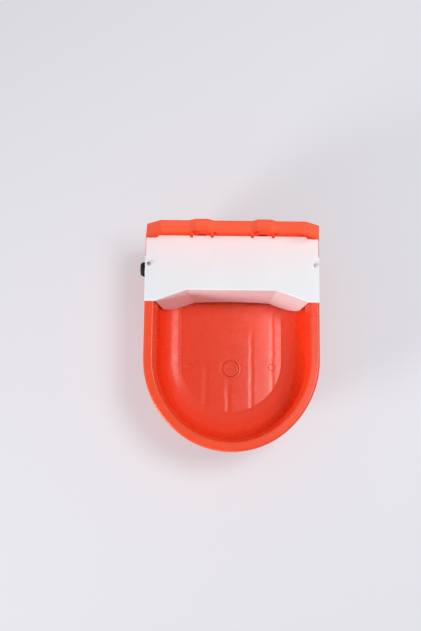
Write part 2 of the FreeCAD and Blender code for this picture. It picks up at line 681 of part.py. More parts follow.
def skirt_strip(sketch, bend, lean):
    # Plan outline of the skirt: a middle panel and two slanted side panels
    run = "(%s - skirt_gap - cover_bend_top / 2)" % MOUTH_HALF
    drop = "(cover_middle_front - cover_side_front)"
    front = "(cover_middle_front - (%s))" % lean
    side = "(%s - skirt_gap)" % MOUTH_HALF
    end = "%s - (%s - (%s)) * %s / %s" % (front, side, bend, drop, run)
    slanted = "skirt_wall * sqrt(%s^2 + %s^2) / %s" % (run, drop, run)
    inner = "((%s) - skirt_wall * %s / %s / 2)" % (bend, drop, run)
    polygon(sketch, (
        ("-" + side, end), ("-(%s)" % bend, front), (bend, front), (side, end),
        (side, "%s + %s" % (end, slanted)), (inner, front + " + skirt_wall"),
        ("-" + inner, front + " + skirt_wall"), ("-" + side, "%s + %s" % (end, slanted))))


def skirt_waste(sketch):
    # Everything below the foot of the skirt: rounded lower corners and a shallow arch in the middle
    foot = "floor_height + skirt_lift"
    half = "(cover_bend_bottom / 2)"
    side = "(%s - skirt_gap)" % MOUTH_HALF
    drop = "(rim_height - floor_height - skirt_lift)"
    slant = "sqrt(skirt_side_lean^2 + %s^2)" % drop
    cut = "(skirt_corner_round * (%s - skirt_side_lean) / %s)" % (slant, drop)
    knee = "(%s - skirt_side_lean)" % side
    right = [(half, foot), ("%s - %s" % (knee, cut), foot),
             ("%s + %s * skirt_side_lean / %s" % (knee, cut, slant), "%s + %s * %s / %s" % (foot, cut, drop, slant)),
             (side, "rim_height"), (side + " + 10", "rim_height"), (side + " + 10", "floor_height - 5")]
    corners = right + [("-(%s)" % x, z) for x, z in right[::-1]]
    spots = [Vector(number(x), number(z), 0) for x, z in corners]
    up = Vector(0, 0, 1)
    radius = number("skirt_corner_round")
    centre = spots[1] + Vector(0, radius, 0)
    reach = math.atan2(spots[2].y - centre.y, spots[2].x - centre.x)
    mirror = Vector(-centre.x, centre.y, 0)
    arcs = {1: Part.ArcOfCircle(Part.Circle(centre, up, radius), -math.pi / 2, reach),
            9: Part.ArcOfCircle(Part.Circle(mirror, up, radius), math.pi - reach, 3 * math.pi / 2)}
    for i in range(len(corners) - 1):
        sketch.addGeometry(arcs.get(i) or Part.LineSegment(spots[i], spots[i + 1]), False)
        place_point(sketch, i, 1, *corners[i])
        if i:
            sketch.addConstraint(Sketcher.Constraint("Coincident", i - 1, 2, i, 1))
    for i in arcs:
        constrain(sketch, "Radius", "skirt_corner_round", i)
    last = len(corners) - 2
    place_point(sketch, last, 2, *corners[-1])

    rise = "(skirt_arch - skirt_lift)"
    arch_radius = "(%s^2 + %s^2) / (2 * %s)" % (half, rise, rise)
    middle = Vector(0, number("floor_height + skirt_arch - %s" % arch_radius), 0)
    turn = math.asin(number(half) / number(arch_radius))
    arch = sketch.addGeometry(Part.ArcOfCircle(
        Part.Circle(middle, up, number(arch_radius)), math.pi / 2 - turn, math.pi / 2 + turn), False)
    sketch.addConstraint(Sketcher.Constraint("Coincident", arch, 1, 0, 1))
    sketch.addConstraint(Sketcher.Constraint("Coincident", arch, 2, last, 2))
    constrain(sketch, "Radius", arch_radius, arch)


def build_cover():
    body = new_body("cover")
    side = "(%s - skirt_gap)" % MOUTH_HALF
    right = (("cover_bend_top / 2", "cover_middle_front"), (side, "cover_side_front"), (RIM_HALF, "cover_side_front"),
             (RIM_HALF, "cover_step"), ("%s - cover_step_in" % RIM_HALF, "cover_step"),
             ("%s - cover_step_in" % RIM_HALF, "cover_back - cover_notch"),
             (NOTCH_START + " + cover_notch", "cover_back - cover_notch"), (NOTCH_START, "cover_back"))
    sketch = new_sketch(body, "XY", "rim_height")
    polygon(sketch, right + tuple(("-(%s)" % x, y) for x, y in right[::-1]))
    pad(body, sketch, "cover_thickness")

    lower = new_sketch(body, "XY", "floor_height")
    skirt_strip(lower, "cover_bend_bottom / 2", "skirt_lean")
    upper = new_sketch(body, "XY", "rim_height")
    skirt_strip(upper, "cover_bend_top / 2", "0")
    loft(body, "AdditiveLoft", [lower, upper], ruled=True)

    sketch = new_sketch(body, "XZ", "-(cover_side_front - 20)")
    skirt_waste(sketch)
    pocket(body, sketch, "60")

    sketch = new_sketch(body, "XY", COVER_TOP)
    for place in peg_places():
        notch = "(cover_back - peg_notch + peg_width / 2)"
        rectangle(sketch, place + " - peg_width / 2 - peg_gap", notch, place + " + peg_width / 2 + peg_gap",
                  "cover_back + 1")
    pocket(body, sketch, "cover_thickness")
    sketch = new_sketch(body, "XY", COVER_TOP)
    for place in peg_places():
        circle(sketch, place, "cover_back - peg_notch + peg_width / 2", "peg_width + 2 * peg_gap")
    pocket(body, sketch, "cover_thickness")

    top = number(COVER_TOP)
    front = number("cover_middle_front")
    round_edges(body, "fold_round", lambda e: is_level(e, top) and edge_box(e).YMax < front + 0.1)
    back = number("cover_side_front + fold_round")
    round_edges(body, "cover_edge_round", lambda e: is_level(e, top) and edge_box(e).YMax > front + 20
                and edge_box(e).YMin > back - 0.1)

    sketch = new_sketch(body, "XY", COVER_TOP)
    for sign in ("-1", "1"):
        circle(sketch, "%s * %s" % (sign, SCREW_X), "screw_y", "screw_shank + 2 * screw_play")
    pocket(body, sketch, "cover_thickness + 1")
    return body


def screw_group(label, spots, seat, size, piece):
    # Pan head screws with a cross recess, pointing down, as one group
    body = piece
    body.AllowCompound = True
    head, height, shank, length = size
    sketch = new_sketch(body, "XY", seat)
    for x, y in spots:
        circle(sketch, x, y, head)
    pad(body, sketch, height)
    top = number("%s + %s" % (seat, height))
    round_edges(body, "%s * 0.45" % height, lambda e: is_level(e, top))
    sketch = new_sketch(body, "XY", seat)
    for x, y in spots:
        circle(sketch, x, y, shank)
    pad(body, sketch, length, reverse=True)
    tip = number("%s - %s" % (seat, length))
    round_edges(body, "%s * 0.2" % shank, lambda e: is_level(e, tip), "Chamfer")
    long, short = "%s * 0.28" % head, "screw_recess / 2"
    sketch = new_sketch(body, "XY", "%s + %s" % (seat, height))
    for x, y in spots:
        polygon(sketch, [("%s + %s" % (x, u), "%s + %s" % (y, v)) for u, v in (
            ("-" + long, "-" + short), ("-" + short, "-" + short), ("-" + short, "-" + long), (short, "-" + long),
            (short, "-" + short), (long, "-" + short), (long, short), (short, short), (short, long),
            ("-" + short, long), ("-" + short, short), ("-" + long, short))])
    pocket(body, sketch, "%s * 0.55" % height)
    return body


def build_cover_screws():
    spots = [("%s * %s" % (side, SCREW_X), "screw_y") for side in ("-1", "1")]
    size = ("screw_head", "screw_head_height", "screw_shank", "screw_length")
    return screw_group("cover_screws", spots, COVER_TOP, size, new_body("cover_screws"))


# Inlet

def ring(label, start, end, inner, outer):
    body = valve_piece(label)
    sketch = new_sketch(body, "XZ")
    rectangle(sketch, start, inner, end, outer)
    revolve(body, sketch)
    return body


def build_inlet_gasket():
    return ring("inlet_gasket", "0", "gasket", "thread / 2 + nut_gap", "seal_width / 2")


def build_locknut_washer():
    start = "-(inlet_boss_length + washer)"
    return ring("locknut_washer", start, "-inlet_boss_length", "thread / 2 + nut_gap", "seal_width / 2")


def build_locknut():
    body = valve_piece("locknut")
    end = "(inlet_boss_length + washer)"
    sketch = new_sketch(body, "YZ", "-" + end)
    corners = [("locknut_flats / sqrt(3) * cos(%d * 1deg)" % turn, "locknut_flats / sqrt(3) * sin(%d * 1deg)" % turn)
               for turn in range(0, 360, 60)]
    polygon(sketch, corners)
    pad(body, sketch, "locknut_height", reverse=True)
    sketch = new_sketch(body, "XZ")
    for face, inward in (("-" + end, "-1"), ("-%s - locknut_height" % end, "1")):
        polygon(sketch, ((face, "locknut_flats / 2"), (face, "locknut_flats * 0.65"),
                         ("%s + %s * locknut_flats * 0.087" % (face, inward), "locknut_flats * 0.65")))
    groove(body, sketch)
    sketch = new_sketch(body, "YZ", "-%s + 1" % end)
    circle(sketch, "0", "0", "thread + 2 * nut_gap")
    pocket(body, sketch, "locknut_height + 2")
    return body


def build_inlet_cap():
    body = valve_piece("inlet_cap")
    outer_end = "(-stub_length - plug_seat_gap - cap_end)"
    sketch = new_sketch(body, "XZ")
    polygon(sketch, ((outer_end, "0"), (outer_end, "cap_width / 2"), (outer_end + " + cap_length", "cap_width / 2"),
                     (outer_end + " + cap_length", "thread / 2 + nut_gap"),
                     ("-stub_length - plug_seat_gap", "thread / 2 + nut_gap"), ("-stub_length - plug_seat_gap", "0")))
    revolve(body, sketch)
    face = number(outer_end)
    round_edges(body, "cap_round", lambda e: edge_box(e).XLength < 0.01 and abs(edge_box(e).XMin - face) < 0.01)
    return body


def build_inlet_strainer():
    body = valve_piece("inlet_strainer")
    start = "(-stub_length + strainer_recess)"
    outer = "(inlet_bore / 2 - strainer_gap)"
    sketch = new_sketch(body, "XZ")
    polygon(sketch, ((start, outer + " - strainer_wall"), (start, outer), (start + " + strainer_length", outer),
                     (start + " + strainer_length", "0"), (start + " + strainer_length - strainer_wall", "0"),
                     (start + " + strainer_length - strainer_wall", outer + " - strainer_wall")))
    revolve(body, sketch)
    for plane in ("XY", "XZ"):
        sketch = new_sketch(body, plane, "-inlet_bore")
        rectangle(sketch, start + " + 3", "-strainer_slot / 2", start + " + strainer_length - 3", "strainer_slot / 2")
        pocket(body, sketch, "2 * inlet_bore", reverse=True)
    return body


# Float valve

def build_valve_body():
    body = valve_piece("valve_body")
    bore = "(piston_width / 2 + running_gap)"
    face = "(gasket + valve_flange)"
    sketch = new_sketch(body, "XZ")
    polygon(sketch, (
        (STUB_OUT, "inlet_bore / 2"), (STUB_OUT, "thread / 2"), ("gasket", "thread / 2"), ("gasket", "seal_width / 2"),
        (face, "seal_width / 2"), (face, "barrel / 2"), ("barrel_end", "barrel / 2"), ("barrel_end", bore),
        ("nozzle_start", bore), ("nozzle_start", "inlet_bore / 3"), ("gasket", "inlet_bore / 3"),
        ("gasket", "inlet_bore / 2")))
    revolve(body, sketch)

    sketch = new_sketch(body, "XZ")
    half = "ear_width / 2"
    x, z, r = number("pivot_x"), -number("pivot_drop"), number(half)
    top = "-barrel / 2 + 5"
    lines = (((x + r, z), (x + r, number(top))), ((x + r, number(top)), (x - r, number(top))),
             ((x - r, number(top)), (x - r, z)))
    for start, end in lines:
        sketch.addGeometry(Part.LineSegment(Vector(*start, 0), Vector(*end, 0)), False)
    sketch.addGeometry(Part.ArcOfCircle(Part.Circle(Vector(x, z, 0), Vector(0, 0, 1), r), math.pi, 2 * math.pi), False)
    for one, two in ((0, 1), (1, 2)):
        sketch.addConstraint(Sketcher.Constraint("Coincident", one, 2, two, 1))
    sketch.addConstraint(Sketcher.Constraint("Coincident", 2, 2, 3, 1))
    sketch.addConstraint(Sketcher.Constraint("Coincident", 3, 2, 0, 1))
    place_point(sketch, 0, 1, "pivot_x + " + half, "-pivot_drop")
    place_point(sketch, 0, 2, "pivot_x + " + half, top)
    place_point(sketch, 2, 1, "pivot_x - " + half, top)
    place_point(sketch, 2, 2, "pivot_x - " + half, "-pivot_drop")
    constrain(sketch, "DistanceY", "-pivot_drop", -1, 1, 3, 3)
    pad(body, sketch, "ear_gap + 2 * ear", both=True)

    sketch = new_sketch(body, "XZ")
    rectangle(sketch, "pivot_x - ear_width / 2 - 0.5", "-pivot_drop - ear_width", "barrel_end + 1", "0")
    pocket(body, sketch, "ear_gap", both=True)
    sketch = new_sketch(body, "XY")
    rectangle(sketch, "window_start", "-window_width / 2", "window_start + window_length", "window_width / 2")
    pocket(body, sketch, "barrel")
    sketch = new_sketch(body, "XZ")
    circle(sketch, "pivot_x", "-pivot_drop", "pivot_pin + 2 * running_gap")
    pocket(body, sketch, "3 * ear_gap", both=True)
    return body


def build_nozzle():
    body = valve_piece("nozzle")
    groove_start = "(nozzle_start + 2.5)"
    groove_width = "(ring_section * 1.2)"
    groove_floor = "(piston_width / 2 + running_gap - ring_section - ring_gap)"
    sketch = new_sketch(body, "XZ")
    polygon(sketch, (
        ("nozzle_start", "jet"), ("nozzle_start", "piston_width / 2"), (groove_start, "piston_width / 2"),
        (groove_start, groove_floor), (groove_start + " + " + groove_width, groove_floor),
        (groove_start + " + " + groove_width, "piston_width / 2"), (NOZZLE_END + " - nozzle_lip", "piston_width / 2"),
        (NOZZLE_END + " - nozzle_lip", "nozzle_lip_width / 2"), (NOZZLE_END + " - 0.6", "nozzle_lip_width / 2"),
        (NOZZLE_END, "nozzle_lip_width / 2 - 0.8"), (NOZZLE_END, "jet / 2"), ("nozzle_start + jet / 2 + 1", "jet / 2")))
    revolve(body, sketch)
    return body


def build_nozzle_ring():
    body = valve_piece("nozzle_ring")
    sketch = new_sketch(body, "XZ")
    circle(sketch, "nozzle_start + 2.5 + ring_section * 0.6", "piston_width / 2 + running_gap - ring_section / 2",
           "ring_section")
    revolve(body, sketch)
    return body


def build_piston():
    body = valve_piece("piston")
    start = "(%s + seal_proud)" % SEAL_FACE
    end = "(%s + piston_length)" % start
    seat = "(%s + seal_depth)" % SEAL_FACE
    sketch = new_sketch(body, "XZ")
    polygon(sketch, ((seat, "0"), (seat, "seal_disc / 2"), (start, "seal_disc / 2"), (start, "piston_width / 2"),
                     (end, "piston_width / 2"), (end, "0")))
    revolve(body, sketch)
    face = number(end)
    round_edges(body, "0.8", lambda e: edge_box(e).XLength < 0.01 and abs(edge_box(e).XMin - face) < 0.01, "Chamfer")
    half = "(finger_tip / 2 + finger_gap)"
    sketch = new_sketch(body, "XZ")
    rectangle(sketch, "%s - %s" % (TIP_X, half), "-piston_width", "%s + %s" % (TIP_X, half), half)
    pocket(body, sketch, "finger_width + 2 * finger_gap", both=True)
    return body


def build_piston_seal():
    return disc("piston_seal", SEAL_FACE, SEAL_FACE + " + seal_depth", "seal_disc / 2")


def disc(label, start, end, radius):
    body = valve_piece(label)
    sketch = new_sketch(body, "XZ")
    rectangle(sketch, start, "0", end, radius)
    revolve(body, sketch)
    return body


def pivot_piece(label):
    # Piece whose local origin is the pivot of the float lever
    return new_body(label, "-%s + pivot_x" % INLET_INNER, "valve_y", "rim_height - valve_drop - pivot_drop")


def build_lever_pin():
    body = pivot_piece("lever_pin")
    ear = "(ear_gap / 2 + ear)"
    start = "(%s + clip_gap)" % ear
    end = "(%s + clip + 2 * clip_gap)" % start
    sketch = new_sketch(body, "XY")
    polygon(sketch, (
        ("0", "-%s - pin_head_height" % ear), ("pin_head / 2", "-%s - pin_head_height" % ear),
        ("pin_head / 2", "-" + ear), ("pivot_pin / 2", "-" + ear), ("pivot_pin / 2", start), ("pin_groove / 2", start),
        ("pin_groove / 2", end), ("pivot_pin / 2", end), ("pivot_pin / 2 - 0.3", end + " + 0.8"),
        ("0", end + " + 0.8")))
    revolve(body, sketch, "V_Axis")
    return body


def build_pin_clip():
    body = pivot_piece("pin_clip")
    sketch = new_sketch(body, "XZ", "-(ear_gap / 2 + ear + 2 * clip_gap + clip)")
    circle(sketch, "0", "0", "clip_width")
    circle(sketch, "0", "0", "pin_groove + 2 * running_gap")
    pad(body, sketch, "clip")
    sketch = new_sketch(body, "XZ", "-(ear_gap / 2 + ear)")
    rectangle(sketch, "-pin_groove * 0.42", "-clip_width", "pin_groove * 0.42", "0")
    pocket(body, sketch, "2 * clip")
    return body


def build_float_lever():
    body = pivot_piece("float_lever")
    width = "ear_gap - 2 * side_gap"
    sketch = new_sketch(body, "XZ")
    circle(sketch, "0", "0", "hub")
    pad(body, sketch, width, both=True)
    sketch = new_sketch(body, "XZ")
    rectangle(sketch, "0", "-arm_height / 2", "arm_length", "arm_height / 2")
    pad(body, sketch, width, both=True)
    end = number("arm_length")
    round_edges(body, "arm_round", lambda e: edge_box(e).XMin > end - 0.01)

    sketch = new_sketch(body, "XZ")
    lean = "(%s * 1deg)" % TILT
    corners = []
    for along, across in (("0", "-1"), ("pivot_drop", "-1"), ("pivot_drop", "1"), ("0", "1")):
        corners.append(("%s * sin(%s) - %s * finger_shank / 2 * cos(%s)" % (along, lean, across, lean),
                        "%s * cos(%s) + %s * finger_shank / 2 * sin(%s)" % (along, lean, across, lean)))
    polygon(sketch, corners)
    pad(body, sketch, "finger_width", both=True)
    sketch = new_sketch(body, "XZ")
    circle(sketch, "pivot_drop * sin(%s)" % lean, "pivot_drop * cos(%s)" % lean, "finger_tip")
    pad(body, sketch, "finger_width", both=True)

    sketch = new_sketch(body, "XZ")
    circle(sketch, "0", "0", "pivot_pin + 2 * running_gap")
    pocket(body, sketch, "2 * ear_gap", both=True)
    sketch = new_sketch(body, "XY", "arm_height / 2")
    for place in ("float_screw_first", "float_screw_first + float_screw_spacing"):
        circle(sketch, place, "0", "float_screw + 2 * screw_gap")
    pocket(body, sketch, "2 * arm_height")

    for side in ("1", "-1"):
        sketch = new_sketch(body, "XZ", "%s * (ear_gap / 2 + 1)" % side)
        rectangle(sketch, "hub / 2 + 4", "-arm_height / 2 + 1.6", "float_start + 6", "arm_height / 2 - 1.6")
        pocket(body, sketch, "side_gap + 1 + 3.4", reverse=side == "-1")
    return body


def float_outline(sketch, inset):
    rectangle(sketch, "float_start + %s" % inset, "-float_width / 2 + %s" % inset,
              "float_start + float_length - %s" % inset, "float_width / 2 - %s" % inset)


def build_float_shell():
    body = pivot_piece("float_shell")
    top = "(-arm_height / 2)"
    bottom = "(%s - float_height + float_wall)" % top
    sketch = new_sketch(body, "XY", bottom)
    float_outline(sketch, "0")
    pad(body, sketch, "float_height - float_wall")
    round_edges(body, "float_corner", is_upright)
    level = number(top)
    round_edges(body, "float_round", lambda e: is_level(e, level))
    sketch = new_sketch(body, "XY", bottom)
    rounded_rectangle(sketch, "float_wall", "float_corner - float_wall")
    pocket(body, sketch, "float_height - 2 * float_wall", reverse=True)
    sketch = new_sketch(body, "XY", top + " - float_wall / 2")
    for place in ("float_screw_first", "float_screw_first + float_screw_spacing"):
        circle(sketch, place, "0", "float_boss")
    pad(body, sketch, "float_screw_length - arm_height + 3", reverse=True)
    sketch = new_sketch(body, "XY", top)
    for place in ("float_screw_first", "float_screw_first + float_screw_spacing"):
        circle(sketch, place, "0", "float_screw + 2 * running_gap")
    pocket(body, sketch, "float_screw_length - arm_height + 1")
    return body


def rounded_rectangle(sketch, inset, corner):
    # Plan of the float inside its wall, with rounded corners
    x0, x1 = "float_start + (%s)" % inset, "float_start + float_length - (%s)" % inset
    y0, y1 = "-float_width / 2 + (%s)" % inset, "float_width / 2 - (%s)" % inset
    a, b, c, d, r = number(x0), number(x1), number(y0), number(y1), number(corner)
    up = Vector(0, 0, 1)
    quarter = math.pi / 2
    centres = ((b - r, d - r), (a + r, d - r), (a + r, c + r), (b - r, c + r))
    lines = (((b, c + r), (b, d - r)), ((b - r, d), (a + r, d)), ((a, d - r), (a, c + r)), ((a + r, c), (b - r, c)))
    first = sketch.GeometryCount
    for i, ((start, end), centre) in enumerate(zip(lines, centres)):
        sketch.addGeometry(Part.LineSegment(Vector(*start, 0), Vector(*end, 0)), False)
        arc = Part.Circle(Vector(*centre, 0), up, r)
        sketch.addGeometry(Part.ArcOfCircle(arc, i * quarter, (i + 1) * quarter), False)
    spots = ((x1, "%s - (%s)" % (y1, corner)), ("%s + (%s)" % (x0, corner), y1),
             (x0, "%s + (%s)" % (y0, corner)), ("%s - (%s)" % (x1, corner), y0))
    for i, (x, y) in enumerate(spots):
        line, arc, following = first + 2 * i, first + 2 * i + 1, first + (2 * i + 2) % 8
        place_point(sketch, line, 2, x, y)
        sketch.addConstraint(Sketcher.Constraint("Tangent", line, 2, arc, 1))
        sketch.addConstraint(Sketcher.Constraint("Tangent", arc, 2, following, 1))
        constrain(sketch, "Radius", corner, arc)


def build_float_base():
    body = pivot_piece("float_base")
    bottom = "(-arm_height / 2 - float_height)"
    sketch = new_sketch(body, "XY", bottom)
    rounded_rectangle(sketch, "0", "float_corner")
    pad(body, sketch, "float_wall")
    sketch = new_sketch(body, "XY", bottom)
    rounded_rectangle(sketch, "float_wall + float_lid_gap", "float_corner - float_wall - float_lid_gap")
    pad(body, sketch, "float_wall + float_lid_spigot")
    sketch = new_sketch(body, "XY", bottom + " + float_wall")
    inner = "2 * float_wall + float_lid_gap"
    rounded_rectangle(sketch, inner, "float_corner - " + "(%s)" % inner)
    pocket(body, sketch, "float_lid_spigot", reverse=True)
    return body


def build_float_screws():
    spots = [("float_screw_first", "0"), ("(float_screw_first + float_screw_spacing)", "0")]
    size = ("float_screw_head", "float_screw_head_height", "float_screw", "float_screw_length")
    return screw_group("float_screws", spots, "arm_height / 2", size, pivot_piece("float_screws"))


# Drain plug

def plug_piece(label):
    return new_body(label, "0", "plug_y", "floor_height")


def build_drain_plug():
    body = plug_piece("drain_plug")
    depth, half = "plug_ring_depth", "plug_ring_section * 0.55"
    floor = "plug_shank / 2 - plug_ring_section - ring_gap"
    sketch = new_sketch(body, "XZ")
    polygon(sketch, (
        ("0", "-plug_length"), ("plug_shank / 2 - 1.2", "-plug_length"), ("plug_shank / 2", "-plug_length + 1.2"),
        ("plug_shank / 2", "-%s - %s" % (depth, half)), (floor, "-%s - %s" % (depth, half)),
        (floor, "-%s + %s" % (depth, half)), ("plug_shank / 2", "-%s + %s" % (depth, half)),
        ("plug_shank / 2", "-plug_head_height"), ("plug_head / 2", "-plug_head_height"), ("plug_head / 2", "-0.4"),
        ("plug_head / 2 - 0.4", "0"), ("0", "0")))
    revolve(body, sketch, "V_Axis")
    sketch = new_sketch(body, "XY")
    circle(sketch, "0", "0", "plug_grip_width")
    pocket(body, sketch, "plug_grip_depth")
    sketch = new_sketch(body, "XY", "-plug_grip_depth - 0.5")
    reach = "(plug_grip_width / 2 + 0.5)"
    rectangle(sketch, "-" + reach, "-plug_grip_bar / 2", reach, "plug_grip_bar / 2")
    pad(body, sketch, "plug_grip_depth + 0.5")
    return body


def build_plug_seal():
    body = plug_piece("plug_seal")
    sketch = new_sketch(body, "XZ")
    circle(sketch, "plug_shank / 2 - plug_ring_section / 2", "-plug_ring_depth", "plug_ring_section")
    revolve(body, sketch, "V_Axis")
    return body


pieces = [
    build_bowl(), build_cover(), build_cover_screws(), build_valve_body(), build_inlet_gasket(),
    build_locknut_washer(), build_locknut(), build_inlet_cap(), build_inlet_strainer(), build_nozzle(),
    build_nozzle_ring(), build_piston(), build_piston_seal(), build_lever_pin(), build_pin_clip(),
    build_float_lever(), build_float_shell(), build_float_base(), build_float_screws(), build_drain_plug(),
    build_plug_seal(),
]
doc.recompute()

for obj in doc.Objects:
    if "Invalid" in obj.State or "Error" in obj.State:
        raise RuntimeError("%s is %s" % (obj.Label, obj.State))
for piece in pieces:
    if piece.Shape.isNull() or not piece.Shape.isValid():
        raise RuntimeError("%s has no sound shape" % piece.Label)

os.makedirs("parts", exist_ok=True)
for piece in pieces:
    piece.Shape.exportStep("parts/%s.step" % piece.Label)
print("%d pieces written" % len(pieces))
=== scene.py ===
import json
import math

import bmesh
import bpy
from mathutils import Matrix, Vector


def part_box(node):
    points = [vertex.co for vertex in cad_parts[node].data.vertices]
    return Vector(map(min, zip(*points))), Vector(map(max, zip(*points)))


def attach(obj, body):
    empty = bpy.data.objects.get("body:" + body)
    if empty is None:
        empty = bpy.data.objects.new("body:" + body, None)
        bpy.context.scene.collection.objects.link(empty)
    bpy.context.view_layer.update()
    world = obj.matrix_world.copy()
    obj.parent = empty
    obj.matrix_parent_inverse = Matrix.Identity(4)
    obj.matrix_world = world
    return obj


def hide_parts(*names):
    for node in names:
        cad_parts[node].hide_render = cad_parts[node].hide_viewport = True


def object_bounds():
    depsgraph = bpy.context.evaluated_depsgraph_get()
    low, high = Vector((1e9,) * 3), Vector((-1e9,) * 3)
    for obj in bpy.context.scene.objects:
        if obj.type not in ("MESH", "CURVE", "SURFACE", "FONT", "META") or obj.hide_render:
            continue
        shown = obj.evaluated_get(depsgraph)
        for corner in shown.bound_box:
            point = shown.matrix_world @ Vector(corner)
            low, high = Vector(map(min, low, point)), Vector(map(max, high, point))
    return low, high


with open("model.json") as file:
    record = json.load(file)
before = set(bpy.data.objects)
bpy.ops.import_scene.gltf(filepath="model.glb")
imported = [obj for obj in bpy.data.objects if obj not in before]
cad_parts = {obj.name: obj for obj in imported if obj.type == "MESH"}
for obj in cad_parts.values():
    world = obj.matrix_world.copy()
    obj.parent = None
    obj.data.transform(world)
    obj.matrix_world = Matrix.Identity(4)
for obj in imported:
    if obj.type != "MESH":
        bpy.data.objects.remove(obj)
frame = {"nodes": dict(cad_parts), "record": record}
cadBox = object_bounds()
print("frame loaded")


def linear(red, green, blue):
    # display colour 0..255 to a shader colour
    channels = []
    for value in (red, green, blue):
        value = value / 255
        channels.append(value / 12.92 if value <= 0.04045 else ((value + 0.055) / 1.055) ** 2.4)
    return (*channels, 1)


def addNode(tree, kind, inputs, **settings):
    # each input is a value or another node's output, by the socket's name or number
    node = tree.nodes.new(kind)
    for name, value in settings.items():
        setattr(node, name, value)
    for key, value in inputs.items():
        if isinstance(value, bpy.types.NodeSocket):
            tree.links.new(value, node.inputs[key])
        else:
            node.inputs[key].default_value = value
    return node


def newMaterial(name, colour, roughness, metallic=0.0, specular=0.5):
    material = bpy.data.materials.new(name)
    material.use_nodes = True
    shader = material.node_tree.nodes["Principled BSDF"]
    shader.inputs["Base Color"].default_value = linear(*colour)
    shader.inputs["Roughness"].default_value = roughness
    shader.inputs["Metallic"].default_value = metallic
    shader.inputs["Specular IOR Level"].default_value = specular
    return material, material.node_tree, shader


def addPlace(tree):
    # object coordinates, so that a pattern stays on its piece
    return addNode(tree, "ShaderNodeTexCoord", {}).outputs["Object"]


def addAxes(tree):
    return addNode(tree, "ShaderNodeSeparateXYZ", {0: addPlace(tree)}).outputs


def addNoise(tree, scale, detail, stretch=(1, 1, 1)):
    mapping = addNode(tree, "ShaderNodeMapping", {"Vector": addPlace(tree), "Scale": stretch})
    inputs = {"Vector": mapping.outputs[0], "Scale": scale, "Detail": detail}
    return addNode(tree, "ShaderNodeTexNoise", inputs).outputs["Fac"]


def addRange(tree, value, low, high, fromLow=0.3, fromHigh=0.7, **settings):
    # the usual span is where most of a noise lies
    span = {"From Min": fromLow, "From Max": fromHigh, "To Min": low, "To Max": high}
    spread = addNode(tree, "ShaderNodeMapRange", {"Value": value, **span}, **settings)
    return spread.outputs["Result"]


def addMix(tree, amount, first, second):
    # each colour may be display values or another node's output
    first, second = (linear(*tint) if isinstance(tint, tuple) else tint for tint in (first, second))
    inputs = {0: amount, 6: first, 7: second}
    return addNode(tree, "ShaderNodeMix", inputs, data_type="RGBA").outputs[2]


def addMath(tree, operation, *values):
    # each value is a number or another node's output
    node = addNode(tree, "ShaderNodeMath", dict(enumerate(values)), operation=operation)
    return node.outputs[0]


def addSum(tree, first, second):
    return addMath(tree, "ADD", first, second)


def addProduct(tree, first, second):
    return addMath(tree, "MULTIPLY", first, second)


def addBelow(tree, height, level, span):
    # 1 under the span over a level, 0 above it
    return addRange(tree, height, 1, 0, level + span[0], level + span[1])


def addRidge(tree, value, centre, half, height):
    # a smooth ridge where the value meets the centre, or a groove if the height is negative
    off = addMath(tree, "ABSOLUTE", addMath(tree, "SUBTRACT", value, centre))
    return addRange(tree, off, height, 0, 0, half, interpolation_type="SMOOTHSTEP")


def addBump(tree, shader, height, distance, **inputs):
    bump = addNode(tree, "ShaderNodeBump", {"Height": height, "Distance": distance, **inputs})
    tree.links.new(bump.outputs["Normal"], shader.inputs["Normal"])


redPlastic = {
    "colour": (246, 78, 36),
    "deepColour": (240, 68, 32),  # in clouds over the colour
    # painted light: the back wall a brighter red than the same moulding elsewhere
    "wallPaintedLight": (252, 90, 45),
    # painted shade: the basin a deeper red than the same moulding elsewhere
    "basinPaintedShade": (248, 66, 28),
    # painted light: the basin floor paler than the basin walls
    "floorPaintedLight": (243, 75, 42),
    "wallFront": (-0.021, -0.017),  # Y where the back wall's painted light and matt skin set in
    "rimSpan": (0.0, 0.012),  # Z where the basin's painted shade sets in
    "floorLevel": -0.069,
    "floorSpan": (0.0035, 0.006),  # heights over the floor where its painted light ends
    "roughness": (0.23, 0.33),
    "specular": 0.42,
    "wallRoughness": 0.45,  # added on the back wall, where the skin is matt
    "edgeRound": 0.0012,  # edges as the mould leaves them
    "edgeSamples": 8,
    "clouds": (9.0, 2.0, (1, 0.35, 1)),  # scale, detail and stretch, as in the next ones
    "gloss": (60.0, 4.0),
    "waves": (26.0, 1.0, (1, 0.3, 1)),
    "waveHeight": 0.0006,
    "grain": (900.0, 2.0),
    "grainHeight": 0.00001,
}

floorMarks = {
    "bow": 0.62,  # the floor sags towards its sides
    "bowHalf": 0.0875,
    "bowSpan": (0.003, 0.059),  # heights over the floor where the bow ends
    "markSpan": (0.001, 0.005),  # and where the marks end
    "streaks": (  # X, half width, height, Y of the back end
        (-0.043, 0.009, -0.0006, -0.2),
        (-0.004, 0.007, -0.0006, -0.235),
        (0.036, 0.006, -0.00035, -0.15),
        (0.072, 0.006, -0.00035, -0.11),
    ),
    "streakFade": 0.03,  # length of a streak's back end
    "wander": (30.0, 1.0),  # scale and detail
    "wanderReach": 0.004,  # how far the streaks stray from straight
    "rings": (  # X, Y, radius, half width, height
        (0.0, -0.2245, 0.0175, 0.0025, -0.0002),
        (-0.072, -0.2217, 0.006, 0.001, 0.00015),
        (0.072, -0.2217, 0.006, 0.001, 0.00015),
    ),
}


